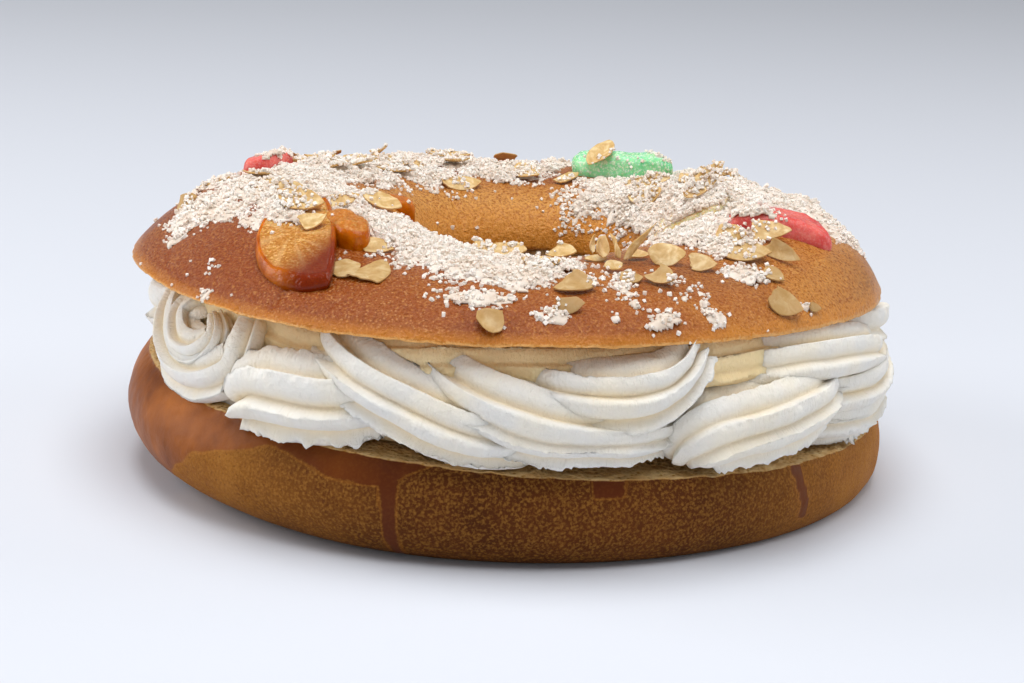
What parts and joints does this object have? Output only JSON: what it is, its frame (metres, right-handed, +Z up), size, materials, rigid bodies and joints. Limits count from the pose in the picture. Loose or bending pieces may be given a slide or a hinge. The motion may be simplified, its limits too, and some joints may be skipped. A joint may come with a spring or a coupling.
{
  "type": "cream-filled ring bun",
  "caption": "Ring of sweet bread, cut level and filled with piped whipped cream, topped with candied fruit, flaked almonds and coarse sugar.",
  "frame": {"origin": "middle of the object's box, on the surface that the lower half stands on", "axes": "+Z up through the ring; -Y towards the front, where the cream's strokes are seen; +X to the right from the front"},
  "size_m": [0.213, 0.217, 0.0818],
  "materials": {
    "baked_crust": "soft: baked sweet dough, brown crust with a thin glaze, matt sides",
    "whipped_cream": "soft: piped whipped cream, smooth and slightly moist",
    "candied_orange": "glossy candied orange, translucent, sugar crusted",
    "candied_red_fruit": "glossy candied fruit dyed red",
    "candied_pear": "glossy pale yellow candied fruit under sugar",
    "candied_green_fruit": "glossy candied fruit dyed green"
  },
  "bodies": {
    "root": {"bun_lower": "baked_crust", "cream": "whipped_cream", "bun_upper": "baked_crust", "orange_slice": "candied_orange", "orange_wedge": "candied_orange", "orange_piece": "candied_orange", "red_strip": "candied_red_fruit", "red_piece": "candied_red_fruit", "pear_slice": "candied_pear", "green_piece": "candied_green_fruit"}
  },
  "joints": []
}
